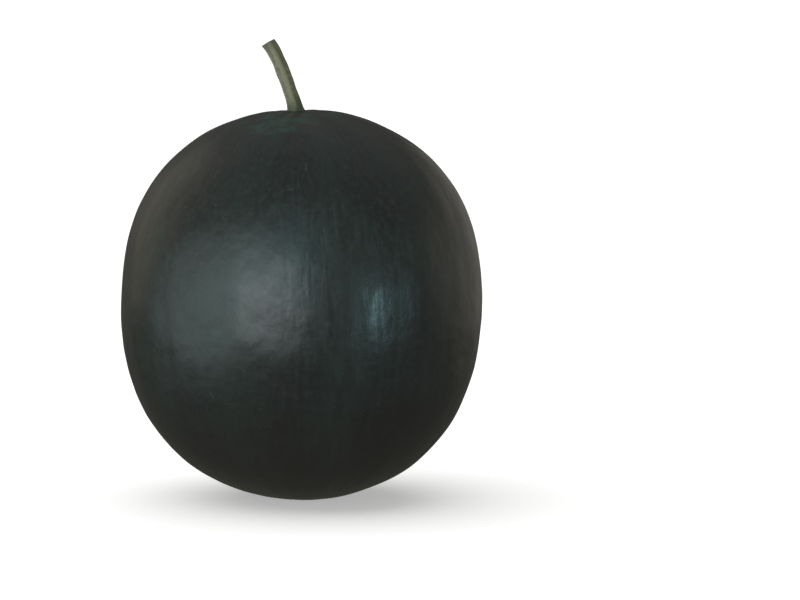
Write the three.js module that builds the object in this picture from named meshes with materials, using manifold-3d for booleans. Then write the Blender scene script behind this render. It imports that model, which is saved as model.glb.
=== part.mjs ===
// A sugar baby watermelon as picked, at life size in millimetres, +Z up.
// It stands on a small flat spot at its blossom end, with its cut stem on top. The origin is on the surface
// that it stands on, under the fruit's middle. -Y is the side that faces the viewer.
// The fruit grew as one piece and is one solid. The stem is the other.

import * as THREE from 'three';
import { mergeVertices } from 'three/addons/utils/BufferGeometryUtils.js';
import Module from 'manifold-3d';

const wasm = await Module();
wasm.setup();

// The fruit's outline, as a mean radius and the shares of it that the shape adds.
const fruitWidth = 190;
const elongation = 0.038; // taller than wide
const squareness = -0.0161; // broad shoulders and a broad foot, where an ellipse would be slim
const eggShape = -0.0034; // a little fuller below the middle
const longAxisLean = THREE.MathUtils.degToRad(1.5); // the longest way through the fruit leans towards +X
const flatDepth = 1.2; // what the flat spot takes off the bottom

// The fruit isn't quite round: each lobe is a wave round its middle.
const lobes = [
  { waves: 2, height: 0.4, turn: 1.1 },
  { waves: 3, height: 0.5, turn: 1.5 },
  { waves: 5, height: 0.25, turn: 0.4 },
  { waves: 10, height: 0.2, turn: 2.0 },
];

// The stem end leans off the vertical towards -X. Shallow furrows run out from it.
const stemEndLean = THREE.MathUtils.degToRad(1.7);
const furrowCount = 10;
const furrowDepth = 0.35;
const furrowReach = 21; // where the furrows are deepest
const stemDimple = { depth: 0.8, radius: 12 };
const blossomDimple = { depth: 2.4, radius: 8 };

// The stem: a curved stalk with blunt ridges, sunk into the fruit and flared where it leaves it.
const stemRadius = 3.55;
const footFlare = 1.0; // added to the radius at the skin
const footFlareLength = 2.2;
const tipFlare = 0.15; // added to the radius at the cut
const tipFlareLength = 3;
const stemRidges = 5;
const ridgeHeight = 0.25;
const ridgeTurn = 2.1; // radians, which brings a ridge to the front, a little to the left
const ridgeTwist = 0.03; // radians of turn for each millimetre of stem
const cutDish = 0.45; // how far the cut end's middle is sunk
const cutTilt = THREE.MathUtils.degToRad(9.5); // the cut isn't quite square: its +X side is the lower one
const cutTiltFade = 8; // a higher power keeps the tilt nearer the cut
const rootDepth = 3.4;
const socketGap = 0.3; // clearance of the root in its socket
const stemPath = [
  [0, 0, 0],
  [-0.7, 0, 6],
  [-8.9, 1.5, 29],
  [-14.5, 2.4, 35.8],
]; // the four points of a Bezier curve, which the middle of the stem follows from the skin to the cut

// How finely the surfaces are divided.
const fruitSegments = 72;
const fruitRings = 48;
const ringCrowding = 0.65; // 0 spaces the rings evenly, and near 1 crowds them at the two ends
const stemSides = 30;
const stemSteps = 26;
const mergeDistance = 1e-4; // vertices closer than this are one

const meanRadius = fruitWidth / 2 / (1 - elongation + squareness);
const centreHeight = meanRadius * (1 + elongation - eggShape + squareness) - flatDepth;
const longAxis = new THREE.Vector3(Math.sin(longAxisLean), 0, Math.cos(longAxisLean));

// A dimple's depth at a distance from its middle: a bell curve.
function dimpleDepth(dimple, distance) {
  return dimple.depth * Math.exp(-((distance / dimple.radius) ** 2));
}

// A bump that is 0 at x = 0, 1 at x = 1, and fades out past x = 2.
function hump(x) {
  return x * x * Math.exp(1 - x * x);
}

// The distance from the fruit's centre to its skin, in a direction given three ways: its angle from the
// long axis, its angle from the stem end, and the angle round the stem end.
function skinRadius(fromLongAxis, fromStemEnd, round) {
  const shape =
    1 +
    elongation * Math.cos(2 * fromLongAxis) +
    eggShape * Math.cos(3 * fromLongAxis) +
    squareness * Math.cos(4 * fromLongAxis);
  const roundMiddle = Math.sin(fromStemEnd) ** 2;
  let radius = meanRadius * shape;
  for (const lobe of lobes) {
    radius += lobe.height * Math.cos(lobe.waves * round - lobe.turn) * roundMiddle;
  }
  const stemDistance = meanRadius * fromStemEnd;
  radius += furrowDepth * Math.cos(furrowCount * round) * hump(stemDistance / furrowReach);
  radius -= dimpleDepth(stemDimple, stemDistance);
  radius -= dimpleDepth(blossomDimple, meanRadius * (Math.PI - fromStemEnd));
  return radius;
}

// A point of the skin. The lean is full at the stem end and fades to nothing at the blossom end.
function skinPoint(fromStemEnd, round) {
  const lean = stemEndLean * Math.cos(fromStemEnd / 2) ** 2;
  const direction = new THREE.Vector3()
    .setFromSphericalCoords(1, fromStemEnd, round)
    .applyAxisAngle(new THREE.Vector3(1, 0, 0), Math.PI / 2)
    .applyAxisAngle(new THREE.Vector3(0, 1, 0), -lean);
  const radius = skinRadius(direction.angleTo(longAxis), fromStemEnd, round);
  const point = direction.multiplyScalar(radius);
  point.z += centreHeight;
  return point;
}

// Moves every vertex of a geometry to the point that the function gives for it.
function reshape(geometry, pointFor) {
  const position = geometry.getAttribute('position');
  for (let i = 0; i < position.count; i++) {
    const point = pointFor(new THREE.Vector3().fromBufferAttribute(position, i));
    position.setXYZ(i, point.x, point.y, point.z);
  }
  return geometry;
}

// The whole skin: a unit sphere with its rings crowded towards the ends, where the shape changes most.
function fruitGeometry() {
  const sphere = new THREE.SphereGeometry(1, fruitSegments, fruitRings);
  return reshape(sphere, (vertex) => {
    const even = new THREE.Spherical().setFromVector3(vertex);
    const crowded = even.phi - (ringCrowding * Math.sin(2 * even.phi)) / 2;
    return skinPoint(crowded, even.theta);
  });
}

const stemEnd = skinPoint(0, 0);
const stemCurve = new THREE.CubicBezierCurve3(
  ...stemPath.map(([x, y, z]) => new THREE.Vector3(x, y, z).add(stemEnd)),
);
const stemLength = stemCurve.getLength();

// The stem's radius at a height above the skin and an angle round it.
function stemSurfaceRadius(height, angle) {
  const foot = footFlare * Math.exp(-Math.max(height, 0) / footFlareLength);
  const tip = tipFlare * Math.exp((height - stemLength) / tipFlareLength);
  const ridges = ridgeHeight * Math.cos(stemRidges * angle + ridgeTurn + ridgeTwist * height);
  return stemRadius + foot + tip + ridges;
}

// The stem with its root, thicker all over by the margin: a unit cylinder bent along the curve. Below the
// skin it runs on straight.
function stemGeometry(margin) {
  const cylinder = new THREE.CylinderGeometry(1, 1, 1, stemSides, stemSteps);
  const deepest = rootDepth + margin;
  return reshape(cylinder, (vertex) => {
    const height = (vertex.y + 0.5) * (stemLength + deepest) - deepest;
    const share = THREE.MathUtils.clamp(height / stemLength, 0, 1);
    const along = stemCurve.getTangentAt(share);
    const back = new THREE.Vector3(0, 1, 0).addScaledVector(along, -along.y).normalize();
    const side = new THREE.Vector3().crossVectors(back, along);
    const angle = Math.atan2(vertex.z, vertex.x);
    const fromMiddle = Math.hypot(vertex.x, vertex.z);
    const radius = (stemSurfaceRadius(height, angle) + margin) * fromMiddle;
    const isCutMiddle = fromMiddle === 0 && height > 0;
    const belowSkin = Math.min(height, 0);
    const tilt = Math.tan(cutTilt) * radius * Math.sin(angle) * share ** cutTiltFade;
    return stemCurve
      .getPointAt(share)
      .addScaledVector(along, belowSkin - tilt - (isCutMiddle ? cutDish : 0))
      .addScaledVector(back, radius * Math.cos(angle))
      .addScaledVector(side, radius * Math.sin(angle));
  });
}

// A three.js geometry as a solid that can be cut, and back again.
function solidFrom(geometry) {
  geometry.deleteAttribute('normal');
  geometry.deleteAttribute('uv');
  const merged = mergeVertices(geometry, mergeDistance);
  return new wasm.Manifold(
    new wasm.Mesh({
      numProp: 3,
      vertProperties: merged.getAttribute('position').array,
      triVerts: new Uint32Array(merged.index.array),
    }),
  );
}

function geometryFrom(solid) {
  const mesh = solid.getMesh();
  const geometry = new THREE.BufferGeometry();
  geometry.setAttribute('position', new THREE.BufferAttribute(mesh.vertProperties, 3));
  geometry.setIndex(new THREE.BufferAttribute(mesh.triVerts, 1));
  geometry.computeVertexNormals();
  return geometry;
}

// The fruit without what lies below the flat spot and without the socket for the stem's root.
function makeFruit() {
  const slabHeight = 2 * flatDepth;
  const slab = new THREE.BoxGeometry(fruitWidth, fruitWidth, slabHeight);
  slab.translate(0, 0, -slabHeight / 2);
  const solid = solidFrom(fruitGeometry())
    .subtract(solidFrom(slab))
    .subtract(solidFrom(stemGeometry(socketGap)));
  const rind = new THREE.MeshStandardMaterial({ color: 0x26302d, roughness: 0.45, metalness: 0 });
  const fruit = new THREE.Mesh(geometryFrom(solid), rind);
  fruit.name = 'fruit';
  return fruit;
}

function makeStem() {
  const solid = solidFrom(stemGeometry(0));
  const stalk = new THREE.MeshStandardMaterial({ color: 0x70735c, roughness: 0.75, metalness: 0 });
  const stem = new THREE.Mesh(geometryFrom(solid), stalk);
  stem.name = 'stem';
  return stem;
}

const watermelon = new THREE.Group();
watermelon.add(makeFruit(), makeStem());

export default watermelon;
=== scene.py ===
# A sugar baby watermelon as picked, standing on its blossom end: the finish of its rind and its cut stem.
# Metres, +Z up. -Y is the side that faces the camera.
import math

import bpy
import numpy as np
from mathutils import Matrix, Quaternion, Vector


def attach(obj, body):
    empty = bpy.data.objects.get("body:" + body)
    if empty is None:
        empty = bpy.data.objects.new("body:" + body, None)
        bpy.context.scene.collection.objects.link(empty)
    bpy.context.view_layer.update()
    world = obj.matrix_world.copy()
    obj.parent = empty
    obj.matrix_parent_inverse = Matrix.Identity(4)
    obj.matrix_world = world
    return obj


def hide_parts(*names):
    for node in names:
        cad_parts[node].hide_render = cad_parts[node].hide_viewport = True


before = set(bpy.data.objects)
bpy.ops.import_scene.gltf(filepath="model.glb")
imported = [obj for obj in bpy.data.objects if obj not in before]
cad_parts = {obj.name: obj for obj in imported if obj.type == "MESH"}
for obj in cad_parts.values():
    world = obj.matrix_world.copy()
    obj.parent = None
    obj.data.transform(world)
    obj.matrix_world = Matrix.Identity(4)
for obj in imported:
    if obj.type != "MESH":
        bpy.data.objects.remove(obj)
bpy.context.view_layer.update()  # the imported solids, which stay as they are
print("watermelon: the solids are loaded")

millimetre = 0.001


# Camera

shot = {
    "pictureWidth": 800,  # pixels, as are the next two
    "fruitMiddle": 302.1,
    "fruitPixels": 361,
    "aimHeight": 0.1038,
    "elevation": 6,  # degrees above the horizon
    "distance": 2.2,
    "sensorWidth": 36,  # millimetres
}


# A long lens, aimed beside the fruit so that the fruit stands left of the picture's middle.
# The lens is the distance times the sensor's width over the width that the picture covers.
def makeCamera(fruitWidth):
    metresPerPixel = fruitWidth / shot["fruitPixels"]
    aside = (shot["pictureWidth"] / 2 - shot["fruitMiddle"]) * metresPerPixel
    rise = math.radians(shot["elevation"])
    back = Vector((0, -math.cos(rise), math.sin(rise)))
    data = bpy.data.cameras.new("camera")
    data.sensor_width = shot["sensorWidth"]
    data.lens = shot["distance"] * shot["sensorWidth"] / (shot["pictureWidth"] * metresPerPixel)
    camera = bpy.data.objects.new("camera", data)
    camera.location = Vector((aside, 0, shot["aimHeight"])) + back * shot["distance"]
    camera.rotation_euler = back.to_track_quat("Z", "Y").to_euler()
    bpy.context.scene.collection.objects.link(camera)
    bpy.context.scene.camera = camera


# Meshes

# A closed skin: rings of points from the first pole to the last, with a fan of triangles at each pole. Seen
# from the first pole the rings run anticlockwise, so the faces point out.
def closedSkin(name, firstPole, rings, lastPole):
    count, around = rings.shape[:2]
    points = np.vstack((firstPole[None], rings.reshape(-1, 3), lastPole[None]))
    here = 1 + np.arange(count)[:, None] * around + np.arange(around)[None]
    beside = np.roll(here, -1, axis=1)
    quads = np.stack((here[:-1], here[1:], beside[1:], beside[:-1]), axis=-1).reshape(-1, 4)
    firstFan = np.stack((np.zeros(around, int), here[0], beside[0]), axis=-1)
    lastFan = np.stack((np.full(around, len(points) - 1), beside[-1], here[-1]), axis=-1)
    mesh = bpy.data.meshes.new(name)
    mesh.from_pydata(points.tolist(), [], firstFan.tolist() + quads.tolist() + lastFan.tolist())
    mesh.shade_smooth()
    piece = bpy.data.objects.new(name, mesh)
    bpy.context.scene.collection.objects.link(piece)
    return piece


# Stores a value for each point of a skin, in the order that closedSkin puts them.
def storeOnPoints(piece, name, firstPole, rings, lastPole):
    isVector = rings.ndim == 3
    kind, key = ("FLOAT_VECTOR", "vector") if isVector else ("FLOAT", "value")
    shape = (-1, 3) if isVector else (-1,)
    ends = [np.asarray(end, float).reshape(shape) for end in (firstPole, lastPole)]
    values = np.concatenate((ends[0], rings.reshape(shape), ends[1]))
    layer = piece.data.attributes.new(name, kind, "POINT")
    layer.data.foreach_set(key, values.astype(np.float32).ravel())


# Fruit

fruit = {
    "width": 190 * millimetre,
    "elongation": 0.038,  # taller than wide
    "squareness": -0.0161,  # broad shoulders and a broad foot
    "eggShape": -0.0034,  # a little fuller below the middle
    "longAxisLean": math.radians(1.5),  # the longest way through the fruit leans towards +X
    "flatDepth": 1.2 * millimetre,  # what the flat spot takes off the bottom
    "lobes": [  # waves round the middle, their height and their turn
        (2, 0.4 * millimetre, 1.1),
        (3, 0.5 * millimetre, 1.5),
        (5, 0.25 * millimetre, 0.4),
        (10, 0.2 * millimetre, 2.0),
    ],
    "stemEndLean": math.radians(1.7),
    "furrowCount": 10,
    "furrowDepth": 0.35 * millimetre,
    "furrowReach": 21 * millimetre,
    "stemDimple": (0.8 * millimetre, 12 * millimetre),  # depth and radius
    "blossomDimple": (2.4 * millimetre, 8 * millimetre),
}

# What is finer than the solids: shallow ribs from end to end, and swells every way.
rindRelief = {
    "ribs": [  # how many round the fruit, their height and their turn
        (17, 0.07 * millimetre, 0.3),
        (23, 0.06 * millimetre, 2.1),
        (31, 0.05 * millimetre, 4.4),
    ],
    "ribSway": (0.5, 3),  # how far a rib sways on its way down, in radians of its own wave, and how fast
    "swells": [  # how many, their height and the shortest and longest wave
        (14, 0.05 * millimetre, 22 * millimetre, 60 * millimetre),
        (26, 0.007 * millimetre, 9 * millimetre, 16 * millimetre),
    ],
    "collar": (0.25 * millimetre, 6.4 * millimetre, 1.6 * millimetre),  # height, radius, width
    "button": (0.75 * millimetre, 4.6 * millimetre),  # height and radius of the blossom scar
    "buttonFlatness": 4,  # a higher power keeps the button's top level further out
    "cracks": 5,
    "crackTurn": 2,  # radians that a crack turns on its way out
    "crackThinness": 8,  # a higher power makes the cracks thinner
    "crackDepth": 0.7,  # as a share of the button's height
    "bandTurn": 2.4,  # radians, for the bands of colour
    "seed": 12,
    "segments": 400,
    "rings": 236,
    "crowding": 0.45,  # 0 spaces the rings evenly, and near 1 crowds them at the two ends
}

meanRadius = fruit["width"] / 2 / (1 - fruit["elongation"] + fruit["squareness"])
bottomShare = 1 + fruit["elongation"] - fruit["eggShape"] + fruit["squareness"]
centreHeight = meanRadius * bottomShare - fruit["flatDepth"]


# A bell curve: 1 in its middle and e to the minus square of the distance over its radius elsewhere.
def bell(distance, radius):
    return np.exp(-((distance / radius) ** 2))


# A bump that is 0 at 0, 1 at 1 and fades out past 2: x squared times e to the power 1 less x squared.
def hump(x):
    return x**2 * np.exp(1 - x**2)


# The skin's distance from the centre: the mean radius times a sum of cosines of the angle from the long axis,
# with the lobes' waves, the furrows at the stem end and a bell-shaped dimple at each end.
def skinRadius(fromLongAxis, fromStemEnd, around):
    radius = meanRadius * (
        1
        + fruit["elongation"] * np.cos(2 * fromLongAxis)
        + fruit["eggShape"] * np.cos(3 * fromLongAxis)
        + fruit["squareness"] * np.cos(4 * fromLongAxis)
    )
    roundMiddle = np.sin(fromStemEnd) ** 2
    for waves, height, turn in fruit["lobes"]:
        radius = radius + height * np.cos(waves * around - turn) * roundMiddle
    stemDistance = meanRadius * fromStemEnd
    blossomDistance = meanRadius * (np.pi - fromStemEnd)
    furrows = np.cos(fruit["furrowCount"] * around) * hump(stemDistance / fruit["furrowReach"])
    radius = radius + fruit["furrowDepth"] * furrows
    for (depth, size), distance in (
        (fruit["stemDimple"], stemDistance),
        (fruit["blossomDimple"], blossomDistance),
    ):
        radius = radius - depth * bell(distance, size)
    return radius


# The fine relief, added along the radius: ribs are cosines of the angle round with a slow sway, swells are
# sines along random directions, the collar is a low ring round the stem, and the blossom scar is a cracked
# button, as high as 1 less a power of the share of its radius.
def fineRelief(direction, fromStemEnd, around):
    look = rindRelief
    randoms = np.random.default_rng(look["seed"])
    relief = np.zeros_like(fromStemEnd)
    swayReach, swayPace = look["ribSway"]
    for count, height, turn in look["ribs"]:
        sway = swayReach * np.sin(swayPace * fromStemEnd + turn)
        relief += height * np.cos(count * around + turn + sway)
    relief *= np.sin(fromStemEnd)
    for count, height, shortest, longest in look["swells"]:
        for _ in range(count):
            towards = randoms.normal(size=3)
            towards /= np.linalg.norm(towards)
            waves = 2 * np.pi * meanRadius / randoms.uniform(shortest, longest)
            relief += height * np.sin(direction @ towards * waves + randoms.uniform(0, 2 * np.pi))
    height, radius, width = look["collar"]
    relief += height * bell(meanRadius * fromStemEnd - radius, width)
    height, radius = look["button"]
    share = np.clip(meanRadius * (np.pi - fromStemEnd) / radius, 0, 1)
    crackWave = np.cos(look["cracks"] / 2 * around + look["crackTurn"] * share)
    cracks = np.abs(crackWave) ** look["crackThinness"] * share
    relief += height * (1 - share ** look["buttonFlatness"]) * (1 - look["crackDepth"] * cracks)
    return relief


# Points of the skin. The direction is turned about Y by the lean, which is full at the stem end and fades to
# nothing at the blossom end as the squared cosine of half the angle. What would be under the floor lies flat.
def skinPoints(fromStemEnd, around):
    lean = fruit["stemEndLean"] * np.cos(fromStemEnd / 2) ** 2
    straightX = np.sin(fromStemEnd) * np.sin(around)
    straightZ = np.cos(fromStemEnd)
    x = straightX * np.cos(lean) - straightZ * np.sin(lean)
    y = -np.sin(fromStemEnd) * np.cos(around)
    z = straightX * np.sin(lean) + straightZ * np.cos(lean)
    direction = np.stack((x, y, z), axis=-1)
    alongAxis = z * np.cos(fruit["longAxisLean"]) + x * np.sin(fruit["longAxisLean"])
    fromLongAxis = np.arccos(np.clip(alongAxis, -1, 1))
    radius = skinRadius(fromLongAxis, fromStemEnd, around) + fineRelief(direction, fromStemEnd, around)
    points = direction * radius[..., None]
    points[..., 2] = np.maximum(points[..., 2] + centreHeight, 0)
    return points


# One point of the skin, where a mark is put.
def skinPoint(fromStemEnd, around):
    return skinPoints(np.array([float(fromStemEnd)]), np.array([float(around)]))[0]


# The rind, with what its finish follows: "lines" is the skin unrolled onto a cylinder as wide as the fruit,
# and "bands" and "streaky" are waves round it.
def makeRind():
    look = rindRelief
    even = np.arange(1, look["rings"]) * np.pi / look["rings"]
    fromStemEnd = even - look["crowding"] * np.sin(2 * even) / 2
    around = np.arange(look["segments"]) * 2 * np.pi / look["segments"]
    fromStemEnd, around = np.meshgrid(fromStemEnd, around, indexing="ij")
    rings = skinPoints(fromStemEnd, around)
    rind = closedSkin("fruit_rind", skinPoint(0, 0), rings, skinPoint(np.pi, 0))
    half = fruit["width"] / 2
    lines = np.stack((half * np.sin(around), -half * np.cos(around), half * fromStemEnd), axis=-1)
    storeOnPoints(rind, "lines", (0, 0, 0), lines, (0, 0, half * np.pi))
    bands = np.cos(fruit["furrowCount"] * around - look["bandTurn"])
    storeOnPoints(rind, "bands", 0, bands, 0)
    zones, turn = rindLook["streaks"]["zones"]
    storeOnPoints(rind, "streaky", 0, np.cos(zones * (around - turn)), 0)
    storeOnPoints(rind, "stemDistance", 0, meanRadius * fromStemEnd, meanRadius * np.pi)
    storeOnPoints(rind, "scarDistance", meanRadius * np.pi, meanRadius * (np.pi - fromStemEnd), 0)
    return rind


# Stem

stem = {
    "radius": 3.55 * millimetre,
    "footFlare": (1.0 * millimetre, 2.2 * millimetre),  # added radius, and the height over which it fades
    "tipFlare": (0.15 * millimetre, 3 * millimetre),
    "ridges": 5,
    "ridgeHeight": 0.25 * millimetre,
    "ridgeTurn": 2.1,
    "ridgeTwist": 30,  # radians of turn for each metre of stem
    "cutDish": 0.45 * millimetre,
    "cutTilt": math.radians(9.5),
    "cutTiltFade": 8,
    "rootDepth": 3.4 * millimetre,
    "path": [(0, 0, 0), (-0.7, 0, 6), (-8.9, 1.5, 29), (-14.5, 2.4, 35.8)],  # Bezier points, millimetres
    "pathSteps": 400,
}

# What is finer than the solid: fibres along the stem, slow lumps, and the cut's rim and vessels. A fibre or
# lump is given by its waves round the stem, height in millimetres, turn, and twist in radians for each metre.
stemRelief = {
    "fibres": [(9, 0.07, 0.4, 16), (14, 0.055, 1.9, -11), (21, 0.045, 3.3, 22), (33, 0.03, 5.0, -9)],
    "lumps": [(2, 0.09, 0.6, 420), (3, 0.06, 2.7, 690), (1, 0.10, 4.1, 240)],
    "footRidges": 0.5 * millimetre,  # extra height of the ridges where they run out onto the rind
    "rimBevel": (0.22 * millimetre, 0.05),  # height, and width as a share of the cut's radius
    "vessels": 10,
    "vesselDepth": 0.16 * millimetre,
    "vesselRing": (0.64, 0.09),  # place and width, as shares of the cut's radius
    "segments": 120,
    "steps": 170,
    "cutRings": 22,
    "cutShortfall": (0.985, 0.03),  # their squares are how far the cut's first and last ring stay off its rim
}


# A point of the cubic Bezier curve and its direction, at lengths along it.
def stemLine(foot):
    controls = np.array(stem["path"]) * millimetre + foot
    t = np.linspace(0, 1, stem["pathSteps"])[:, None]
    weights = ((1 - t) ** 3, 3 * (1 - t) ** 2 * t, 3 * (1 - t) * t**2, t**3)
    line = sum(weight * control for weight, control in zip(weights, controls))
    slopes = (3 * (1 - t) ** 2, 6 * (1 - t) * t, 3 * t**2)
    along = sum(slope * step for slope, step in zip(slopes, np.diff(controls, axis=0)))
    along /= np.linalg.norm(along, axis=1)[:, None]
    reached = np.concatenate(([0], np.cumsum(np.linalg.norm(np.diff(line, axis=0), axis=1))))
    return reached, line, along


# A wave round the stem that twists with the height: the ridges, from -1 to 1.
def ridgeWave(height, angle):
    return np.cos(stem["ridges"] * angle + stem["ridgeTurn"] + stem["ridgeTwist"] * height)


# The stem's radius: a flare that dies away from each end, ridges that twist, finer fibres and slow lumps.
def stemRadius(height, angle, length):
    look = stemRelief
    flare, fade = stem["footFlare"]
    foot = np.exp(-np.maximum(height, 0) / fade)
    tipFlare, tipFade = stem["tipFlare"]
    tip = tipFlare * np.exp((height - length) / tipFade)
    ridges = (stem["ridgeHeight"] + look["footRidges"] * foot) * ridgeWave(height, angle)
    radius = stem["radius"] + flare * foot + tip + ridges
    for waves, size, turn, twist in look["fibres"] + look["lumps"]:
        radius = radius + size * millimetre * np.cos(waves * angle + turn + twist * height)
    return radius


# The stem with its root. A point lies on the middle line at its height, then out along two directions square
# to the line. Angles run clockwise, so the faces point out. The cut's rings come first, from its middle out.
def makeStem(foot):
    look = stemRelief
    bevelHeight, bevelWidth = look["rimBevel"]
    reached, line, along = stemLine(foot)
    length = reached[-1]
    angle = -np.arange(look["segments"]) * 2 * np.pi / look["segments"]

    def placeRings(height, inward):
        place = np.stack([np.interp(height, reached, line[:, k]) for k in range(3)], axis=-1)
        ahead = np.stack([np.interp(height, reached, along[:, k]) for k in range(3)], axis=-1)
        backwards = np.array([0, 1, 0]) - ahead * ahead[..., 1:2]
        backwards /= np.linalg.norm(backwards, axis=-1)[..., None]
        side = np.cross(backwards, ahead)
        radius = stemRadius(height, angle, length) * inward
        nearCut = np.clip(height / length, 0, 1) ** stem["cutTiltFade"]
        lift = np.minimum(height, 0) - np.tan(stem["cutTilt"]) * radius * np.sin(angle) * nearCut
        ring, width = look["vesselRing"]
        vesselWave = (1 + np.cos(look["vessels"] * angle)) / 2
        vessels = look["vesselDepth"] * bell(inward - ring, width) * vesselWave
        bevel = bevelHeight * bell(1 - inward, bevelWidth)
        sunk = stem["cutDish"] * (1 - inward**2) + bevel + vessels
        lift = lift - np.where(inward < 1, sunk, 0)
        return (
            place
            + ahead * lift[..., None]
            + backwards * (radius * np.cos(angle))[..., None]
            + side * (radius * np.sin(angle))[..., None]
        )

    heights = np.linspace(length - bevelHeight, -stem["rootDepth"], look["steps"])[:, None]
    sides = placeRings(heights + 0 * angle, np.ones((look["steps"], 1)) + 0 * angle)
    inward = (1 - np.linspace(*look["cutShortfall"], look["cutRings"]) ** 2)[:, None]
    cut = placeRings(np.full((look["cutRings"], 1), length) + 0 * angle, inward + 0 * angle)
    cutPole = cut[0].mean(axis=0)
    rootPole = sides[-1].mean(axis=0)
    stalk = closedSkin("stem_stalk", cutPole, np.concatenate((cut, sides)), rootPole)
    allHeights = np.concatenate((np.full((look["cutRings"], 1), length), heights)) + 0 * angle
    radius = stem["radius"] * np.concatenate((inward, np.ones((look["steps"], 1))))
    fibres = np.stack((radius * np.sin(angle), radius * np.cos(angle), allHeights), axis=-1)
    storeOnPoints(stalk, "fibres", (0, 0, length), fibres, (0, 0, -stem["rootDepth"]))
    onCut = np.concatenate((1 - inward, np.zeros((look["steps"], 1)))) + 0 * angle
    storeOnPoints(stalk, "onCut", 1, onCut, 0)
    storeOnPoints(stalk, "ridge", 0, ridgeWave(allHeights, angle), 0)
    # A wave round the stem that peaks where the painted shade lies.
    shade = np.cos(angle - np.pi + stemLook["shadeSide"]) + 0 * allHeights
    storeOnPoints(stalk, "shade", 0, shade, 0)
    return stalk


# Shader trees

class Wire:  # an output of a node; arithmetic on it adds Math nodes
    def __init__(self, paint, socket):
        self.paint = paint
        self.socket = socket

    def __add__(self, other):
        return self.paint.math("ADD", self, other)

    def __radd__(self, other):
        return self.paint.math("ADD", other, self)

    def __sub__(self, other):
        return self.paint.math("SUBTRACT", self, other)

    def __rsub__(self, other):
        return self.paint.math("SUBTRACT", other, self)

    def __mul__(self, other):
        return self.paint.math("MULTIPLY", self, other)

    def __rmul__(self, other):
        return self.paint.math("MULTIPLY", other, self)


class Paint:  # one tree of shader nodes, of a material or of the world
    def __init__(self, owner):
        owner.use_nodes = True
        self.tree = owner.node_tree
        self.tree.nodes.clear()

    # Adds a node: first its settings, then the values or links of its sockets. Gives back one of its outputs.
    def node(self, kind, settings=None, sockets=None, output=0):
        made = self.tree.nodes.new(kind)
        for name, value in (settings or {}).items():
            setattr(made, name, value)
        for name, value in (sockets or {}).items():
            if isinstance(value, Wire):
                self.tree.links.new(value.socket, made.inputs[name])
            else:
                made.inputs[name].default_value = value
        return Wire(self, made.outputs[output]) if made.outputs else None

    def math(self, operation, first, second):
        return self.node("ShaderNodeMath", {"operation": operation}, {0: first, 1: second})

    def vectorMath(self, operation, first, second, output=0):
        return self.node("ShaderNodeVectorMath", {"operation": operation}, {0: first, 1: second}, output)

    def attribute(self, name, output="Fac"):
        return self.node("ShaderNodeAttribute", {"attribute_name": name}, output=output)

    def objectPoint(self):
        return self.node("ShaderNodeTexCoord", output="Object")

    # 0 below the first value and 1 above the second, with a smooth way between.
    def rise(self, value, low, high):
        sockets = {"Value": value, "From Min": low, "From Max": high}
        return self.node("ShaderNodeMapRange", {"interpolation_type": "SMOOTHSTEP"}, sockets)

    # 0 above the level and 1 where the value is less than the level by the fade or more.
    def fall(self, value, level, fade):
        return self.rise(level - value, 0, fade)

    # Noise about 0, from about -0.5 to 0.5, with lumps of the given size in metres.
    def noise(self, place, size, detail, roughness):
        sockets = {"Vector": place, "Scale": 1 / size, "Detail": detail, "Roughness": roughness}
        return self.node("ShaderNodeTexNoise", {}, sockets) - 0.5

    def cells(self, place, size, feature, output):
        sockets = {"Vector": place, "Scale": 1 / size}
        return self.node("ShaderNodeTexVoronoi", {"feature": feature}, sockets, output)

    def cellEdge(self, place, size):
        return self.cells(place, size, "DISTANCE_TO_EDGE", "Distance")

    def mixColour(self, share, first, second):
        return self.node("ShaderNodeMix", {"data_type": "RGBA"}, {0: share, 6: first, 7: second}, 2)

    def distanceTo(self, place, point):
        return self.vectorMath("DISTANCE", place, point, "Value")

    # How far a place is in a direction from the origin: their dot product.
    def along(self, place, direction):
        return self.vectorMath("DOT_PRODUCT", place, direction, "Value")

    # The place with its last coordinate multiplied, which makes a pattern's lumps that share as wide as long.
    def squeezed(self, place, share):
        return self.vectorMath("MULTIPLY", place, (1, 1, share))

    # The height is in metres, so the distance is 1.
    def bump(self, height):
        return self.node("ShaderNodeBump", {}, {"Height": height, "Distance": 1})

    def surface(self, shader):
        self.node("ShaderNodeOutputMaterial", {}, {"Surface": shader})


# Rind finish

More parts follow.
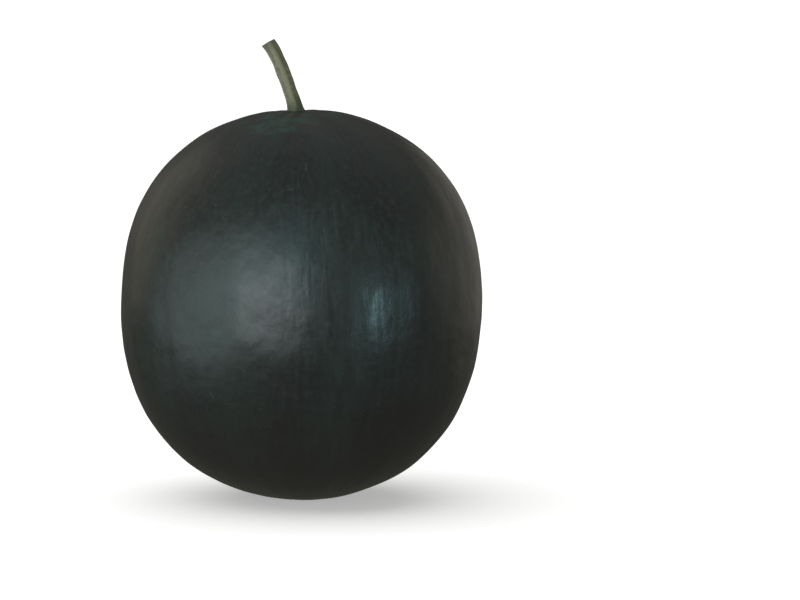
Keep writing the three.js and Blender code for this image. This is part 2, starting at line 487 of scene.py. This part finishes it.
# A noise is given as its lumps' size, its detail and its roughness. A shape is a width over the length along
# the fruit. An edge is the two values between which a mark fades in or out. A fray is the noise that makes it
# ragged, as far as its reach. A share is how strong the mark is, and dullness is what it adds to the
# roughness.
rindLook = {
    "bands": {  # broad bands from end to end, hardly lighter than what is between them
        "dark": (0.0074, 0.0088, 0.0082, 1),
        "light": (0.0112, 0.0158, 0.0136, 1),
        "edge": (-0.7, 0.9),
        "shape": 0.3,
        "fray": (11 * millimetre, 4, 0.5),
        "frayReach": 4,
    },
    "veins": {
        "colour": (0.0046, 0.0058, 0.0052, 1),
        "share": 0.45,
        "edge": (0, 0.3),
        "shape": 0.38,
        "cell": 5.2 * millimetre,
        "bends": (9 * millimetre, 2),  # size and detail
        "bendReach": 4 * millimetre,
        "patches": (7 * millimetre, 3, 0.6),
        "patchEdge": (-0.12, 0.2),
    },
    "tints": {
        "shape": 0.6,
        "patches": (9 * millimetre, 4, 0.6),
        "green": (0.0140, 0.0310, 0.0215, 1),
        "greenShare": 0.32,
        "greenEdge": (0.02, 0.22),
        "brown": (0.0215, 0.0185, 0.0135, 1),
        "brownShare": 0.30,
        "brownBelow": (-0.04, 0.2),  # level and fade
        "lowDown": (25 * millimetre, 85 * millimetre),  # heights between which the underside's brown fades
        "lowDownShare": 0.38,
    },
    "mottle": {
        "colour": (0.021, 0.029, 0.024, 1),
        "share": 0.50,
        "edge": (-0.06, 0.26),
        "lumps": (3.4 * millimetre, 3, 0.6),
        "dullness": 0.16,
    },
    "bloom": {  # wax in cloudy patches
        "colour": (0.045, 0.056, 0.054, 1),
        "share": 0.10,
        "edge": (-0.08, 0.22),
        "clouds": (34 * millimetre, 4, 0.6),
        "dullness": 0.03,
        "coatLoss": 0.5,
    },
    "streaks": {
        "colour": (0.018, 0.031, 0.027, 1),
        "share": 0.42,
        "edge": (0, 0.24),
        "shape": 0.14,
        "lines": (3.4 * millimetre, 3, 0.55),
        "zones": (3, math.radians(18)),  # how many zones round the fruit are streaky, and where
        "zoneEdge": (0.1, 0.95),
        "height": 0.15 * millimetre,
        "leastHeight": 0.2,  # share of the height that is left between the zones
        "dullness": 0.45,
    },
    "pores": {
        "colour": (0.13, 0.15, 0.10, 1),
        "share": 0.30,
        "edge": (0.03, 0.11),
        "cell": 4.6 * millimetre,
        "chosen": (0.64, 0.68),  # each cell has a random number up to 1, and those above this hold a pore
        "depth": 0.02 * millimetre,
    },
    "groundSpot": {  # where the fruit lay on the ground
        "at": (math.radians(104), math.radians(205)),  # angle from the stem end and angle round
        "radius": 34 * millimetre,
        "shape": 0.8,  # its width over its height
        "colour": (0.42, 0.35, 0.16, 1),
        "share": 0.85,
        "middle": (0.2, 1.05),  # shares of the radius, as is the edge
        "veinLoss": 0.3,
        "edgeColour": (0.085, 0.100, 0.038, 1),
        "edgeShare": 0.75,
        "edge": (0.55, 1.3),
        "sway": (26 * millimetre, 3, 0.5),
        "swayReach": 22 * millimetre,
        "fray": (5 * millimetre, 4, 0.65),
        "frayShape": 0.3,
        "frayReach": 24 * millimetre,
    },
    "stemEnd": {
        "green": (0.020, 0.034, 0.020, 1),
        "greenShare": 0.5,
        "greenEdge": (5 * millimetre, 15 * millimetre),
        "greenReach": 6 * millimetre,  # how far the mottle frays it
        "blotch": (0.022, 0.082, 0.066, 1),
        "blotchShare": 0.56,
        "blotchEdge": (-0.05, 0.19),
        "blotches": (6.5 * millimetre, 4, 0.65),
        "near": (14 * millimetre, 44 * millimetre),  # distances from the stem between which they fade
        "at": (math.radians(18), math.radians(-16)),  # where more gather: angles from the stem end and round
        "gathered": (6 * millimetre, 24 * millimetre),  # distances from there between which they fade
        "gatheredReach": 20 * millimetre,  # how far the mottle frays that
        "gatheredMore": 0.10,  # added to the blotches' noise there
    },
    "scar": {  # the corky blossom scar
        "colour": (0.19, 0.135, 0.072, 1),
        "cracks": (0.05, 0.034, 0.02, 1),
        "edge": (4.2 * millimetre, 5.6 * millimetre),
        "fray": (3 * millimetre, 3, 0.5),
        "frayReach": 2.5 * millimetre,
        "crackCell": 1.8 * millimetre,
        "crackEdge": (0.02, 0.14),
        "crackDepth": 0.15 * millimetre,
        "dullness": 0.4,
    },
    "rubbed": {  # a strip rubbed shiny
        "at": (math.radians(86), math.radians(24.4)),  # angle from the stem end and angle round
        "shape": 1 / 4.5,
        "edge": (1.0 * millimetre, 3.4 * millimetre),
        "frayReach": 3 * millimetre,  # how far the streaks fray it
        "shine": 0.06,  # taken off the roughness
    },
    "grain": {  # leathery relief: a noise and its height
        "ribs": ((4.4 * millimetre, 3, 0.55), 0.1 * millimetre),
        "coarse": ((6.2 * millimetre, 2, 0.42), 0.28 * millimetre),
        "fine": ((1.3 * millimetre, 3, 0.6), 0.010 * millimetre),
        "ribShape": 0.16,
    },
    "livelyHeights": (25 * millimetre, 190 * millimetre),  # between these the marks grow stronger upwards
    "livelyShares": (0.52, 0.95),  # how strong they are below the first, and what is added above the second
    "roughness": 0.42,
    "coatWeight": 0.10,
    "coatRoughness": 0.28,
}

# Thin healed scratches.
scratches = {
    "colour": (0.05, 0.075, 0.065, 1),
    "share": 0.6,
    "edge": (0.1 * millimetre, 0.45 * millimetre),
    "fray": (1.6 * millimetre, 3, 0.5),
    "frayReach": 0.5 * millimetre,
    "at": [  # angle round, angle from the stem end, length and turn, in degrees and millimetres
        (4.8, 41.6, 6, 86),
        (-2, 49.2, 3, 8),
        (-30.2, 54, 0.8, 0),
        (-30, 113, 5, 120),
        (118, 70, 10, 35),
        (165, 62, 7, 110),
    ],
}


# What the rind's colour, roughness and relief share. The mottle and the streak are noises about 0, lively is
# how strong the marks are at a height, and the other patterns are masks from 0 to 1.
def rindPatterns(paint):
    place = paint.objectPoint()
    lines = paint.attribute("lines", "Vector")
    height = paint.along(place, (0, 0, 1))
    least, more = rindLook["livelyShares"]
    bloom, streaks, pores, scar = (rindLook[name] for name in ("bloom", "streaks", "pores", "scar"))
    poreNumber = paint.along(paint.cells(place, pores["cell"], "F1", "Color"), (1, 0, 0))
    pore = 1 - paint.rise(paint.cells(place, pores["cell"], "F1", "Distance"), *pores["edge"])
    scarFray = paint.noise(place, *scar["fray"]) * scar["frayReach"]
    return {
        "place": place,
        "lines": lines,
        "height": height,
        "lively": paint.rise(height, *rindLook["livelyHeights"]) * more + least,
        "veins": veinPattern(paint, lines),
        "mottle": paint.noise(lines, *rindLook["mottle"]["lumps"]),
        "cloud": paint.rise(paint.noise(place, *bloom["clouds"]), *bloom["edge"]),
        "streak": paint.noise(paint.squeezed(lines, streaks["shape"]), *streaks["lines"]),
        "streaky": paint.rise(paint.attribute("streaky"), *streaks["zoneEdge"]),
        "pores": pore * paint.rise(poreNumber, *pores["chosen"]),
        "scar": 1 - paint.rise(paint.attribute("scarDistance") + scarFray, *scar["edge"]),
        "cracks": paint.rise(paint.cellEdge(place, scar["crackCell"]), *scar["crackEdge"]),
    }


# A net of veins, drawn out along the fruit: the edges of bent cells, which show in patches.
def veinPattern(paint, lines):
    look = rindLook["veins"]
    size, detail = look["bends"]
    sockets = {"Vector": lines, "Scale": 1 / size, "Detail": detail}
    bends = paint.node("ShaderNodeTexNoise", {}, sockets, "Color")
    reach = (look["bendReach"],) * 3
    bent = paint.vectorMath("ADD", lines, paint.vectorMath("MULTIPLY", bends, reach))
    net = 1 - paint.rise(paint.cellEdge(paint.squeezed(bent, look["shape"]), look["cell"]), *look["edge"])
    return net * paint.rise(paint.noise(lines, *look["patches"]), *look["patchEdge"])


# The bands with ragged edges, and the veins over them.
def bandColour(paint, marks):
    look = rindLook["bands"]
    fray = paint.noise(paint.squeezed(marks["lines"], look["shape"]), *look["fray"]) * look["frayReach"]
    ragged = paint.attribute("bands") + fray
    colour = paint.mixColour(paint.rise(ragged, *look["edge"]), look["dark"], look["light"])
    veins = rindLook["veins"]
    return paint.mixColour(marks["veins"] * veins["share"], colour, veins["colour"])


# Green and brown tints in patches, fine mottling, cloudy wax, and low down a little more brown.
def paintTints(paint, marks, colour):
    look = rindLook["tints"]
    lively = marks["lively"]
    tint = paint.noise(paint.squeezed(marks["lines"], look["shape"]), *look["patches"])
    green = paint.rise(tint, *look["greenEdge"]) * lively
    colour = paint.mixColour(green * look["greenShare"], colour, look["green"])
    brown = paint.fall(tint, *look["brownBelow"]) * lively
    colour = paint.mixColour(brown * look["brownShare"], colour, look["brown"])
    mottle = rindLook["mottle"]
    mottled = paint.rise(marks["mottle"], *mottle["edge"]) * lively
    colour = paint.mixColour(mottled * mottle["share"], colour, mottle["colour"])
    bloom = rindLook["bloom"]
    colour = paint.mixColour(marks["cloud"] * bloom["share"], colour, bloom["colour"])
    lowDown = 1 - paint.rise(marks["height"], *look["lowDown"])
    return paint.mixColour(lowDown * look["lowDownShare"], colour, look["brown"])


# Streaks along the fruit, which show in a few broad zones round it, and pale pores.
def paintStreaks(paint, marks, colour):
    look = rindLook["streaks"]
    streaks = paint.rise(marks["streak"], *look["edge"]) * marks["streaky"] * marks["lively"]
    colour = paint.mixColour(streaks * look["share"], colour, look["colour"])
    pores = rindLook["pores"]
    return paint.mixColour(marks["pores"] * pores["share"], colour, pores["colour"])


# How far a place is from a straight scratch: it is taken to the nearest point between the scratch's two ends.
def scratchDistance(paint, place, start, end):
    span = end - start
    fromStart = paint.vectorMath("SUBTRACT", place, tuple(start))
    share = paint.along(fromStart, tuple(span / float(span @ span)))
    nearest = paint.node("ShaderNodeClamp", {}, {"Value": share})
    onLine = paint.node("ShaderNodeVectorMath", {"operation": "SCALE"}, {0: tuple(span), "Scale": nearest})
    return paint.vectorMath("DISTANCE", fromStart, onLine, "Value")


# Each scratch lies square to the line from the fruit's centre, turned from level by its angle.
def paintScratches(paint, place, colour):
    look = scratches
    for around, down, length, turn in look["at"]:
        middle = skinPoint(math.radians(down), math.radians(around))
        outwards = middle - np.array([0, 0, centreHeight])
        outwards /= np.linalg.norm(outwards)
        level = np.cross([0, 0, 1], outwards)
        level /= np.linalg.norm(level)
        steep = np.cross(outwards, level)
        turned = level * math.cos(math.radians(turn)) + steep * math.sin(math.radians(turn))
        reach = turned * length * millimetre / 2
        away = scratchDistance(paint, place, middle - reach, middle + reach)
        fray = paint.noise(place, *look["fray"]) * look["frayReach"]
        mask = 1 - paint.rise(away + fray, *look["edge"])
        colour = paint.mixColour(mask * look["share"], colour, look["colour"])
    return colour


# The cream spot, taller than wide, with a long ragged fade through green.
def paintGroundSpot(paint, marks, colour):
    look = rindLook["groundSpot"]
    place = marks["place"]
    spotMiddle = tuple(skinPoint(*look["at"]) * (1, 1, look["shape"]))
    sway = paint.noise(place, *look["sway"]) * look["swayReach"]
    drawnOut = paint.squeezed(marks["lines"], look["frayShape"])
    fray = paint.noise(drawnOut, *look["fray"]) * look["frayReach"]
    away = paint.distanceTo(paint.squeezed(place, look["shape"]), spotMiddle) + (sway + fray)
    middle, edge = (
        1 - paint.rise(away, look["radius"] * inner, look["radius"] * outer)
        for inner, outer in (look["middle"], look["edge"])
    )
    colour = paint.mixColour(edge * look["edgeShare"], colour, look["edgeColour"])
    cream = look["share"] - marks["veins"] * look["veinLoss"]
    return paint.mixColour(middle * cream, colour, look["colour"])


# Greener skin round the stem, and blotches that gather on one side of it.
def paintStemEnd(paint, marks, colour):
    look = rindLook["stemEnd"]
    place = marks["place"]
    mottle = marks["mottle"]
    stemDistance = paint.attribute("stemDistance")
    fresh = 1 - paint.rise(stemDistance + mottle * look["greenReach"], *look["greenEdge"])
    colour = paint.mixColour(fresh * look["greenShare"], colour, look["green"])
    near = 1 - paint.rise(stemDistance, *look["near"])
    away = paint.distanceTo(place, tuple(skinPoint(*look["at"])))
    gathered = 1 - paint.rise(away + mottle * look["gatheredReach"], *look["gathered"])
    lumps = paint.noise(place, *look["blotches"]) + gathered * look["gatheredMore"]
    blotches = paint.rise(lumps, *look["blotchEdge"])
    either = near + gathered - near * gathered
    return paint.mixColour(blotches * either * look["blotchShare"], colour, look["blotch"])


def rindColour(paint, marks):
    scar = rindLook["scar"]
    colour = bandColour(paint, marks)
    colour = paintTints(paint, marks, colour)
    colour = paintStreaks(paint, marks, colour)
    colour = paintScratches(paint, marks["place"], colour)
    colour = paintGroundSpot(paint, marks, colour)
    colour = paintStemEnd(paint, marks, colour)
    cork = paint.mixColour(marks["cracks"], scar["cracks"], scar["colour"])
    return paint.mixColour(marks["scar"], colour, cork)


# Waxy patches are duller, the mottling and the streaks break up the shine, and a strip is rubbed shiny.
def rindRoughness(paint, marks):
    rubbed = rindLook["rubbed"]
    mottle = marks["mottle"] * rindLook["mottle"]["dullness"]
    streaks = marks["streak"] * marks["streaky"] * rindLook["streaks"]["dullness"]
    stripMiddle = tuple(skinPoint(*rubbed["at"]) * (1, 1, rubbed["shape"]))
    away = paint.distanceTo(paint.squeezed(marks["place"], rubbed["shape"]), stripMiddle)
    strip = 1 - paint.rise(away + marks["streak"] * rubbed["frayReach"], *rubbed["edge"])
    dull = marks["cloud"] * rindLook["bloom"]["dullness"] + marks["scar"] * rindLook["scar"]["dullness"]
    return rindLook["roughness"] + dull + (mottle + streaks) * marks["lively"] - strip * rubbed["shine"]


# The relief in metres: drawn-out ribs, the grain, streaks, pores, and the cork's cracks.
def rindHeight(paint, marks):
    grain = rindLook["grain"]
    streaks = rindLook["streaks"]
    ribPlace = paint.squeezed(marks["lines"], grain["ribShape"])
    height = marks["pores"] * -rindLook["pores"]["depth"]
    for name, place in (("ribs", ribPlace), ("coarse", marks["place"]), ("fine", marks["place"])):
        noise, size = grain[name]
        height = height + paint.noise(place, *noise) * size
    least = streaks["leastHeight"]
    drawn = marks["streak"] * (marks["streaky"] * (1 - least) + least) * marks["lively"]
    cork = marks["scar"] * marks["cracks"] * rindLook["scar"]["crackDepth"]
    return height + drawn * streaks["height"] + cork


def paintRind():
    material = bpy.data.materials.new("rind")
    paint = Paint(material)
    marks = rindPatterns(paint)
    coat = (1 - marks["cloud"] * rindLook["bloom"]["coatLoss"]) * (1 - marks["scar"])
    sockets = {
        "Base Color": rindColour(paint, marks),
        "Roughness": rindRoughness(paint, marks),
        "Coat Weight": coat * rindLook["coatWeight"],
        "Coat Roughness": rindLook["coatRoughness"],
        "Normal": paint.bump(rindHeight(paint, marks)),
    }
    paint.surface(paint.node("ShaderNodeBsdfPrincipled", {}, sockets))
    return material


# Stem finish

# Noises, shapes, edges and shares are given as for the rind. A sway is how far a noise moves an edge.
stemLook = {
    "olive": (0.285, 0.243, 0.165, 1),
    "pale": (0.355, 0.305, 0.212, 1),
    # Greener than the olive, and darker as painted shade in the creases between the ridges; the gaps between
    # the fibres take it too.
    "valley": (0.185, 0.162, 0.098, 1),
    "valleyEdge": (-1.1, 0.6),
    "broad": (3 * millimetre, 3, 0.5),  # slow changes along the stem, which move the edges of the rest
    "broadShape": 0.2,
    "valleySway": 2,
    "fibre": (0.9 * millimetre, 4, 0.6),
    "fibreShape": 0.06,
    "fibreEdge": (0, 0.25),
    "fibreShare": 0.6,
    "gapBelow": (-0.06, 0.2),  # between the fibres: level and fade
    "gapShare": 0.5,
    # The colour of the painted shade on one side of the stem; the dark mottle uses it too.
    "shade": (0.118, 0.104, 0.056, 1),
    "shadeSide": math.radians(76),  # where round the stem its painted shade lies, from the front towards +X
    "shadeShare": 0.85,
    "shadeEdge": (0.5, 0.8),
    "shadeSway": (0.7, 0.4),  # how far the broad noise and the fibres move its edge
    "mottle": (1.9 * millimetre, 3, 0.6),
    "mottleShare": 0.45,
    "paleMottle": (0, 0.25),
    "darkMottle": (-0.02, 0.2),  # level and fade
    "speck": (0.035, 0.032, 0.020, 1),
    "speckCell": 2.3 * millimetre,
    "speckEdge": (0.06, 0.16),
    "speckShare": 0.45,
    "foot": (0.066, 0.070, 0.040, 1),
    "footHeights": (0.5 * millimetre, 8 * millimetre),
    "footShare": 0.75,
    "endSway": 6 * millimetre,  # how far the broad noise moves the foot's edge and the dried end's
    # Painted shade low on the stem's shaded side, where it meets the rind.
    "paintedFootShade": (0.030, 0.034, 0.020, 1),
    "paintedFootShadeHeights": (4 * millimetre, 10 * millimetre),
    "paintedFootShadeShare": 0.55,
    "paintedFootShadeSway": 8 * millimetre,
    "driedHeights": (32 * millimetre, 38 * millimetre),
    "driedShare": 0.4,
    "cut": (0.125, 0.105, 0.070, 1),
    "cutEdge": (0.002, 0.02),
    "cutPith": (0.225, 0.192, 0.132, 1),
    "pithEdge": (0.35, 0.7),
    "pithSway": 0.3,
    "cutRim": (0.045, 0.040, 0.027, 1),
    "rimEdge": (0.02, 0.2),
    "grain": (0.5 * millimetre, 3, 0.6),
    "grainHeight": 0.03 * millimetre,
    "fibreHeight": 0.14 * millimetre,
    "fibreDullness": 0.2,
    "roughness": 0.78,
    "specular": 0.35,
}


# Fibres run along the stem; the valleys are greener with painted shade, and one side has painted shade.
def sideColour(paint, fibres, fibre, broad, shade, mottle):
    look = stemLook
    # The valleys between the ridges: a greener tone and painted shade.
    ridge = paint.attribute("ridge") + broad * look["valleySway"]
    colour = paint.mixColour(paint.rise(ridge, *look["valleyEdge"]), look["valley"], look["olive"])
    colour = paint.mixColour(paint.rise(fibre, *look["fibreEdge"]) * look["fibreShare"], colour, look["pale"])
    colour = paint.mixColour(paint.fall(fibre, *look["gapBelow"]) * look["gapShare"], colour, look["valley"])
    # Painted shade on one side of the stem.
    colour = paint.mixColour(shade * look["shadeShare"], colour, look["shade"])
    pale = paint.rise(mottle, *look["paleMottle"]) * look["mottleShare"]
    colour = paint.mixColour(pale, colour, look["pale"])
    dark = paint.fall(mottle, *look["darkMottle"]) * look["mottleShare"]
    colour = paint.mixColour(dark, colour, look["shade"])
    specks = 1 - paint.rise(paint.cells(fibres, look["speckCell"], "F1", "Distance"), *look["speckEdge"])
    return paint.mixColour(specks * look["speckShare"], colour, look["speck"])


# The foot is green, with painted shade low on its shaded side; near the cut the stem has dried.
def paintEnds(paint, fibres, broad, shade, mottle, colour):
    look = stemLook
    height = paint.along(fibres, (0, 0, 1))
    swaying = height + broad * look["endSway"]
    foot = 1 - paint.rise(swaying, *look["footHeights"])
    colour = paint.mixColour(foot * look["footShare"], colour, look["foot"])
    # Painted shade near the foot, only on the shaded side.
    paintedFootShade = 1 - paint.rise(height + mottle * look["paintedFootShadeSway"], *look["paintedFootShadeHeights"])
    colour = paint.mixColour(paintedFootShade * shade * look["paintedFootShadeShare"], colour, look["paintedFootShade"])
    dried = paint.rise(swaying, *look["driedHeights"])
    return paint.mixColour(dried * look["driedShare"], colour, look["cut"])


# The cut: a dark dried rim, a fibrous ring and a paler pith.
def paintCut(paint, grain, colour):
    look = stemLook
    onCut = paint.attribute("onCut")
    pith = paint.rise(onCut + grain * look["pithSway"], *look["pithEdge"])
    face = paint.mixColour(pith, look["cut"], look["cutPith"])
    face = paint.mixColour(paint.rise(onCut, *look["rimEdge"]), look["cutRim"], face)
    return paint.mixColour(paint.rise(onCut, *look["cutEdge"]), colour, face)


def paintStem():
    look = stemLook
    material = bpy.data.materials.new("stalk")
    paint = Paint(material)
    fibres = paint.attribute("fibres", "Vector")
    fibre = paint.noise(paint.squeezed(fibres, look["fibreShape"]), *look["fibre"])
    broad = paint.noise(paint.squeezed(fibres, look["broadShape"]), *look["broad"])
    broadSway, fibreSway = look["shadeSway"]
    # Where the painted shade lies, its edge moved by the broad noise and the fibres.
    shaded = paint.attribute("shade") + broad * broadSway + fibre * fibreSway
    shade = paint.rise(shaded, *look["shadeEdge"])
    mottle = paint.noise(fibres, *look["mottle"])
    grain = paint.noise(fibres, *look["grain"])
    colour = sideColour(paint, fibres, fibre, broad, shade, mottle)
    colour = paintEnds(paint, fibres, broad, shade, mottle, colour)
    sockets = {
        "Base Color": paintCut(paint, grain, colour),
        "Roughness": look["roughness"] + fibre * look["fibreDullness"],
        "Specular IOR Level": look["specular"],
        "Normal": paint.bump(fibre * look["fibreHeight"] + grain * look["grainHeight"]),
    }
    paint.surface(paint.node("ShaderNodeBsdfPrincipled", {}, sockets))
    return material


# Studio

studio = {
    "floorSize": 60,
    "floorColour": (0.80, 0.80, 0.80, 1),
    "floorRoughness": 0.9,
    "floorSpecular": 0.1,
    "floorGlow": 0.40,  # keeps the shadow pale
    "floorGlowColour": (1, 1, 1, 1),
    "floorSun": 2.4,  # watts a square metre, which only the floor gets
    "sunSpread": math.radians(100),
    "sunTurn": (math.radians(-14), math.radians(-16), 0),
    "lightHeight": 0.104,
    "lightDistance": 3,
    "skyFront": (0.250, 0.238, 0.214, 1),
    "skyBack": (0.138, 0.134, 0.118, 1),
    "skyTop": (0.33, 0.33, 0.32, 1),
    "skyBelow": (0.215, 0.198, 0.182, 1),
    "skySeen": (1, 1, 1, 1),
    "frontRises": (-0.35, 0.15),  # sines of the angle up between which the sky's front colour comes in
    "topRises": (0.3, 0.9),
    "backRises": (-0.2, 0.6),  # sines of the angle towards the back
}

# Soft panels round the fruit: azimuth from the camera (+ is to the right), elevation, half width, half height
# and roll (+ lifts the right end), all in degrees, then the radiance in red, green and blue. Only the fruit
# and its stem are lit by them.
panels = {
    "window": (-57, 3.5, 37, 17.5, 22, (1.57, 2.10, 2.12)),
    "key": (-22, 3, 19.5, 10.5, 30, (5.1, 5.6, 5.8)),
    "overKey": (-8, 21, 12.5, 20, 0, (0.57, 1.45, 1.55)),
    "second": (50, -4.5, 7.5, 9.5, 0, (6.8, 12.1, 13.2)),
    "rimRight": (131, 7, 40, 18, 0, (0.37, 0.34, 0.30)),
    "rimLeft": (-123, 21, 26, 26, 0, (0.47, 0.41, 0.345)),
}


def linkedCollection(name, members):
    collection = bpy.data.collections.new(name)
    for member in members:
        collection.objects.link(member)
    return collection


# An oval panel, as large as its angles make it at its distance. Its power is its radiance times pi times its
# area, which is a quarter of pi times its width and height.
def makePanel(name, receivers):
    azimuth, elevation, halfWidth, halfHeight, roll, radiance = panels[name]
    distance = studio["lightDistance"]
    turn, up = math.radians(azimuth), math.radians(elevation)
    outwards = Vector((math.sin(turn) * math.cos(up), -math.cos(turn) * math.cos(up), math.sin(up)))
    data = bpy.data.lights.new(name, "AREA")
    data.shape = "ELLIPSE"
    data.size = 2 * distance * math.tan(math.radians(halfWidth))
    data.size_y = 2 * distance * math.tan(math.radians(halfHeight))
    brightest = max(radiance)
    data.energy = brightest * math.pi * math.pi / 4 * data.size * data.size_y
    data.color = [share / brightest for share in radiance]
    panel = bpy.data.objects.new(name, data)
    panel.location = Vector((0, 0, studio["lightHeight"])) + outwards * distance
    rolled = Quaternion((0, 0, 1), math.radians(roll))
    panel.rotation_euler = (outwards.to_track_quat("Z", "Y") @ rolled).to_euler()
    panel.visible_camera = False
    panel.light_linking.receiver_collection = receivers
    bpy.context.scene.collection.objects.link(panel)


# A plain square floor, which neither shines on the fruit nor is mirrored in it.
def makeFloor():
    half = studio["floorSize"] / 2
    mesh = bpy.data.meshes.new("floor")
    corners = [(-half, -half, 0), (half, -half, 0), (half, half, 0), (-half, half, 0)]
    mesh.from_pydata(corners, [], [(0, 1, 2, 3)])
    material = bpy.data.materials.new("floor")
    paint = Paint(material)
    sockets = {
        "Base Color": studio["floorColour"],
        "Roughness": studio["floorRoughness"],
        "Specular IOR Level": studio["floorSpecular"],
        "Emission Color": studio["floorGlowColour"],
        "Emission Strength": studio["floorGlow"],
    }
    paint.surface(paint.node("ShaderNodeBsdfPrincipled", {}, sockets))
    mesh.materials.append(material)
    floor = bpy.data.objects.new("floor", mesh)
    floor.visible_glossy = False
    floor.visible_diffuse = False
    bpy.context.scene.collection.objects.link(floor)
    return floor


def makeFloorSun(receivers):
    data = bpy.data.lights.new("floorSun", "SUN")
    data.energy = studio["floorSun"]
    data.angle = studio["sunSpread"]
    sun = bpy.data.objects.new("floorSun", data)
    sun.rotation_euler = studio["sunTurn"]
    sun.light_linking.receiver_collection = receivers
    bpy.context.scene.collection.objects.link(sun)


# The surroundings: dim behind the fruit and below the floor's level, brighter in front and overhead. The
# camera sees plain white.
def makeSky():
    world = bpy.data.worlds.new("studio")
    bpy.context.scene.world = world
    paint = Paint(world)
    direction = paint.node("ShaderNodeTexCoord", output="Generated")
    up = paint.along(direction, (0, 0, 1))
    behind = paint.along(direction, (0, 1, 0))
    colour = paint.mixColour(paint.rise(up, *studio["frontRises"]), studio["skyBelow"], studio["skyFront"])
    colour = paint.mixColour(paint.rise(behind, *studio["backRises"]), colour, studio["skyBack"])
    colour = paint.mixColour(paint.rise(up, *studio["topRises"]), colour, studio["skyTop"])
    seen = paint.node("ShaderNodeLightPath", output="Is Camera Ray")
    colour = paint.mixColour(seen, colour, studio["skySeen"])
    background = paint.node("ShaderNodeBackground", {}, {"Color": colour})
    paint.node("ShaderNodeOutputWorld", {}, {"Surface": background})


makeCamera(fruit["width"])

rind = makeRind()
rind.data.materials.append(paintRind())
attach(rind, "root")
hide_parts("fruit")
print("watermelon: the rind is done")

stalk = makeStem(skinPoint(0, 0))
stalk.data.materials.append(paintStem())
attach(stalk, "root")
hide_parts("stem")
print("watermelon: the stem is done")

floor = makeFloor()
makeFloorSun(linkedCollection("floorOnly", [floor]))
lit = linkedCollection("fruitAndStem", [rind, stalk])
for panelName in panels:
    makePanel(panelName, lit)
makeSky()
bpy.context.scene.view_settings.view_transform = "Standard"
print("watermelon: the studio is done")
